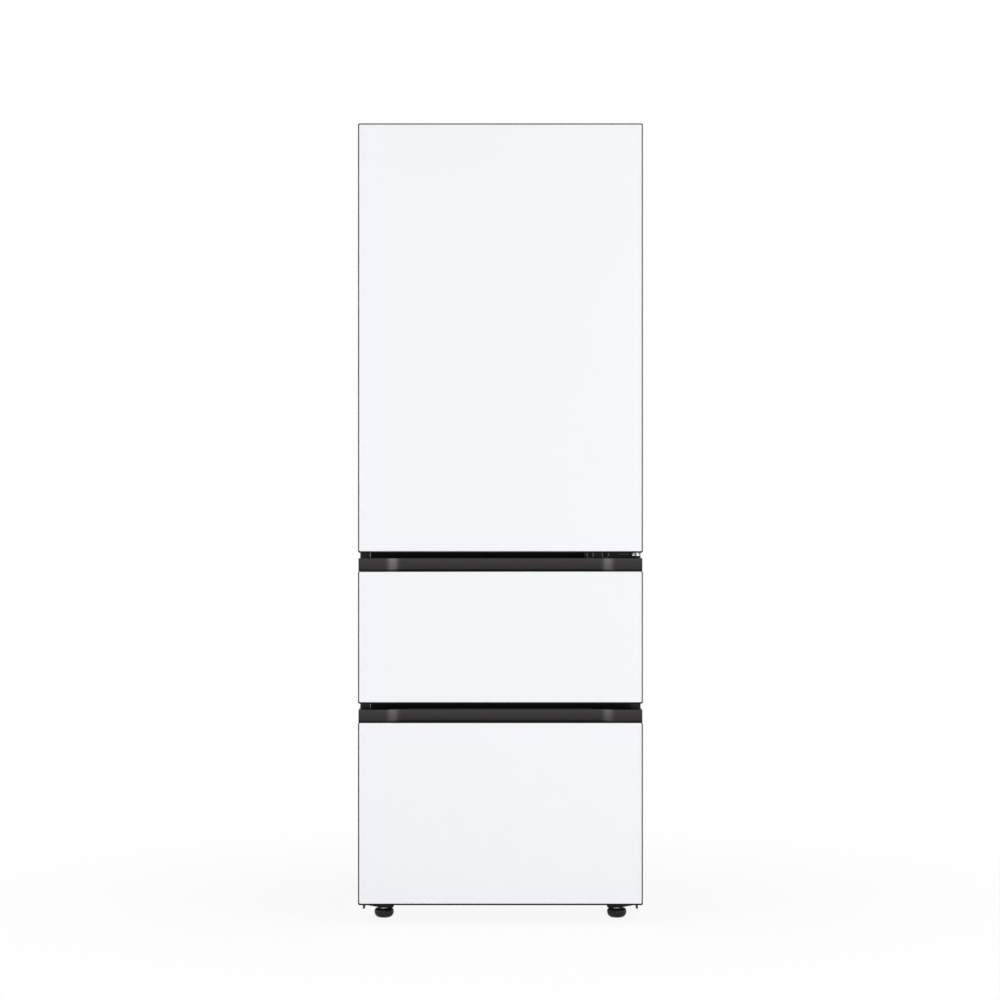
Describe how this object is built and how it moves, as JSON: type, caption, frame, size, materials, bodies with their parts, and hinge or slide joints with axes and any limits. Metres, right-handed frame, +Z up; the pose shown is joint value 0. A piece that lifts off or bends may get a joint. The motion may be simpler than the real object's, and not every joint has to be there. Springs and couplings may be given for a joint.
{
  "type": "kimchi refrigerator",
  "caption": "Stand-type kimchi refrigerator with a tall hinged door over full-width drawers, white glass fronts, graphite grip strips, geared slides and lidded containers.",
  "frame": {"origin": "on the floor, under the middle of the bounding box", "axes": "+X to the right seen from the front, +Y to the back, +Z up; the fronts face -Y"},
  "size_m": [0.666, 0.737, 1.87],
  "materials": {
    "case_steel": "satin",
    "back_steel": "galvanised",
    "foam": "matte",
    "liner_white": "satin",
    "dark_flange": "satin",
    "hinge_steel": "satin",
    "edge_grey": "satin",
    "evaporator_fins": "satin",
    "motor_grey": "matte",
    "panel_grey": "gloss",
    "shelf_glass": "clear",
    "container_ivory": "satin",
    "lid_grey": "satin",
    "slide_steel": "zinc",
    "acetal_white": "satin",
    "compressor_black": "satin",
    "condenser_tube": "dull",
    "tray_black": "matte",
    "gland_black": "matte",
    "front_glass": "glossy back-painted glass",
    "seal_grey": "matte",
    "graphite_grip": "brushed dark anodised",
    "basket_clear": "translucent",
    "bush_black": "matte",
    "bin_white": "satin",
    "fan_white": "satin",
    "fan_black": "satin",
    "foot_black": "satin",
    "roller_black": "satin"
  },
  "bodies": {
    "cabinet": {"outer_case": "case_steel", "cabinet_back": "back_steel", "base_pan": "back_steel", "foam_insulation": "foam", "upper_liner": "liner_white", "middle_liner": "liner_white", "lower_liner": "liner_white", "front_mullions": "dark_flange", "hinge_brackets": "hinge_steel", "hinge_cover": "edge_grey", "duct_cover": "liner_white", "evaporator": "evaporator_fins", "fan_motors": "motor_grey", "control_panel": "panel_grey", "shelf_glass": "shelf_glass", "shelf_trims": "liner_white", "upper_containers": "container_ivory", "upper_lids": "lid_grey", "fixed_slides": "slide_steel", "racks": "acetal_white", "compressor": "compressor_black", "condenser": "condenser_tube", "drain_tray": "tray_black", "rear_cover": "back_steel", "cord_gland": "gland_black", "base_brackets": "compressor_black"},
    "door": {"door_glass": "front_glass", "door_frame": "edge_grey", "door_liner": "liner_white", "door_seal": "seal_grey", "door_grip_cap": "graphite_grip", "door_baskets": "basket_clear", "door_bushes": "bush_black"},
    "middle_drawer": {"middle_glass": "front_glass", "middle_frame": "edge_grey", "middle_grip": "graphite_grip", "middle_front_liner": "liner_white", "middle_seal": "seal_grey", "middle_runners": "slide_steel", "middle_bin": "bin_white", "middle_containers": "container_ivory", "middle_lids": "lid_grey"},
    "lower_drawer": {"lower_glass": "front_glass", "lower_frame": "edge_grey", "lower_grip": "graphite_grip", "lower_front_liner": "liner_white", "lower_seal": "seal_grey", "lower_runners": "slide_steel", "lower_bin": "bin_white", "lower_containers": "container_ivory", "lower_lids": "lid_grey"},
    "middle_slide_pair": {"middle_slides": "slide_steel"},
    "lower_slide_pair": {"lower_slides": "slide_steel"},
    "middle_pinion_shaft": {"middle_pinions": "acetal_white"},
    "lower_pinion_shaft": {"lower_pinions": "acetal_white"},
    "evaporator_rotor": {"evaporator_fan": "fan_white"},
    "condenser_rotor": {"condenser_fan": "fan_black"},
    "left_foot": {"front_foot_left": "foot_black"},
    "right_foot": {"front_foot_right": "foot_black"},
    "roller_pair": {"rear_rollers": "roller_black"}
  },
  "joints": [
    {"name": "door_swing", "type": "hinge", "parent": "cabinet", "child": "door", "pos_m": [0.318, -0.327, 0.866], "axis": [0, 0, 1], "range_deg": [0, 115]},
    {"name": "middle_drawer_slide", "type": "slide", "parent": "cabinet", "child": "middle_drawer", "axis": [0, -1, 0], "range_m": [0, 0.4]},
    {"name": "lower_drawer_slide", "type": "slide", "parent": "cabinet", "child": "lower_drawer", "axis": [0, -1, 0], "range_m": [0, 0.34]},
    {"name": "middle_slides_travel", "type": "slide", "parent": "cabinet", "child": "middle_slide_pair", "axis": [0, -1, 0], "range_m": [0, 0.2]},
    {"name": "lower_slides_travel", "type": "slide", "parent": "cabinet", "child": "lower_slide_pair", "axis": [0, -1, 0], "range_m": [0, 0.17]},
    {"name": "middle_pinions_roll", "type": "hinge", "parent": "middle_drawer", "child": "middle_pinion_shaft", "pos_m": [0, 0.1705, 0.659], "axis": [1, 0, 0], "range_deg": [0, 1640]},
    {"name": "lower_pinions_roll", "type": "hinge", "parent": "lower_drawer", "child": "lower_pinion_shaft", "pos_m": [0, 0.1105, 0.289], "axis": [1, 0, 0], "range_deg": [0, 1395]},
    {"name": "evaporator_fan_spin", "type": "hinge", "parent": "cabinet", "child": "evaporator_rotor", "pos_m": [0, 0.2525, 1.248], "axis": [0, 1, 0], "continuous": true},
    {"name": "condenser_fan_spin", "type": "hinge", "parent": "cabinet", "child": "condenser_rotor", "pos_m": [-0.056, 0.267, 0.148], "axis": [1, 0, 0], "continuous": true},
    {"name": "front_foot_left_turn", "type": "hinge", "parent": "cabinet", "child": "left_foot", "pos_m": [-0.276, -0.2775, 0], "axis": [0, 0, 1], "range_deg": [-360, 360]},
    {"name": "front_foot_right_turn", "type": "hinge", "parent": "cabinet", "child": "right_foot", "pos_m": [0.276, -0.2775, 0], "axis": [0, 0, 1], "range_deg": [-360, 360]},
    {"name": "rear_rollers_roll", "type": "hinge", "parent": "cabinet", "child": "roller_pair", "pos_m": [0, 0.2985, 0.019], "axis": [1, 0, 0], "continuous": true}
  ],
  "couplings": [
    {"joint": "middle_slides_travel", "follows": "middle_drawer_slide", "ratio": 0.5},
    {"joint": "lower_slides_travel", "follows": "lower_drawer_slide", "ratio": 0.5},
    {"joint": "middle_pinions_roll", "follows": "middle_drawer_slide", "rad_per_m": 71.429},
    {"joint": "lower_pinions_roll", "follows": "lower_drawer_slide", "rad_per_m": 71.429}
  ]
}
